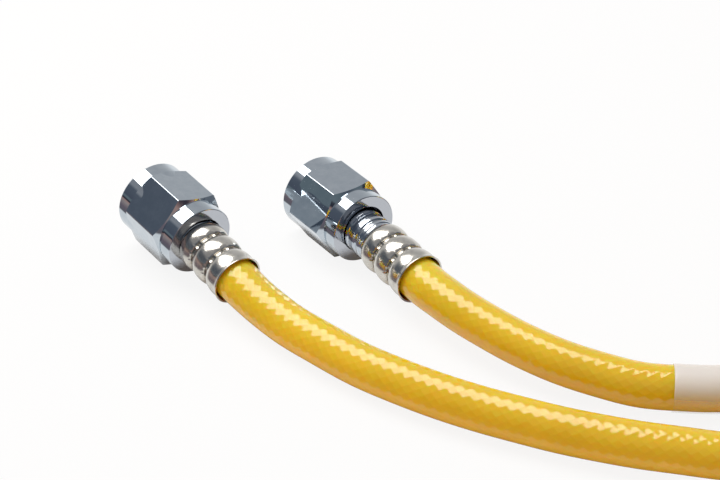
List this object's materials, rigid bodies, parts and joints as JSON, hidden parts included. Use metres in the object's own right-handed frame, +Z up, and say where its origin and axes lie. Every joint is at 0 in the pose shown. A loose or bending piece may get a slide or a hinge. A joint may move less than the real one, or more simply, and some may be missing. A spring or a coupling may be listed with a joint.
{
  "type": "medical air hose",
  "caption": "Braided yellow gas hose with a crimped, free-turning hex nut fitting on each end and a label sleeve; it joins an air outlet to equipment.",
  "frame": {"origin": "on the surface the hose lies on, under the middle of the box that holds the two end fittings", "axes": "+Z up; +X along the row of the two fittings, from the near one to the far one and on to the coil; +Y away from the viewer of the picture"},
  "size_m": [0.3739, 0.1652, 0.0283],
  "materials": {
    "chrome": "bright chrome plate on brass",
    "nickel": "bright nickel silver, crimped",
    "seal": "moulded black rubber",
    "hose": "glossy yellow PVC with the braid showing through",
    "film": "frosted translucent film",
    "strap": "woven hook-and-loop strap"
  },
  "bodies": {
    "hose": {"near_nipple": "chrome", "near_seal_ring": "seal", "near_ferrule": "nickel", "near_hose_end": "hose", "far_nipple": "chrome", "far_seal_ring": "seal", "far_ferrule": "nickel", "far_hose_end": "hose", "hose_near_run": "hose", "hose_far_run": "hose", "hose_coil": "hose", "label_sleeve": "film", "coil_tie": "strap"},
    "near_nut": {"near_hex_nut": "chrome"},
    "far_nut": {"far_hex_nut": "chrome"}
  },
  "joints": [
    {"name": "near_nut_spin", "type": "hinge", "parent": "hose", "child": "near_nut", "pos_m": [-0.02343, -0.00585, 0.01221], "axis": [-0.6242, 0.7759, 0.0916], "continuous": true},
    {"name": "far_nut_spin", "type": "hinge", "parent": "hose", "child": "far_nut", "pos_m": [0.02592, 0.00088, 0.01203], "axis": [-0.584, 0.8117, -0.0085], "continuous": true}
  ]
}
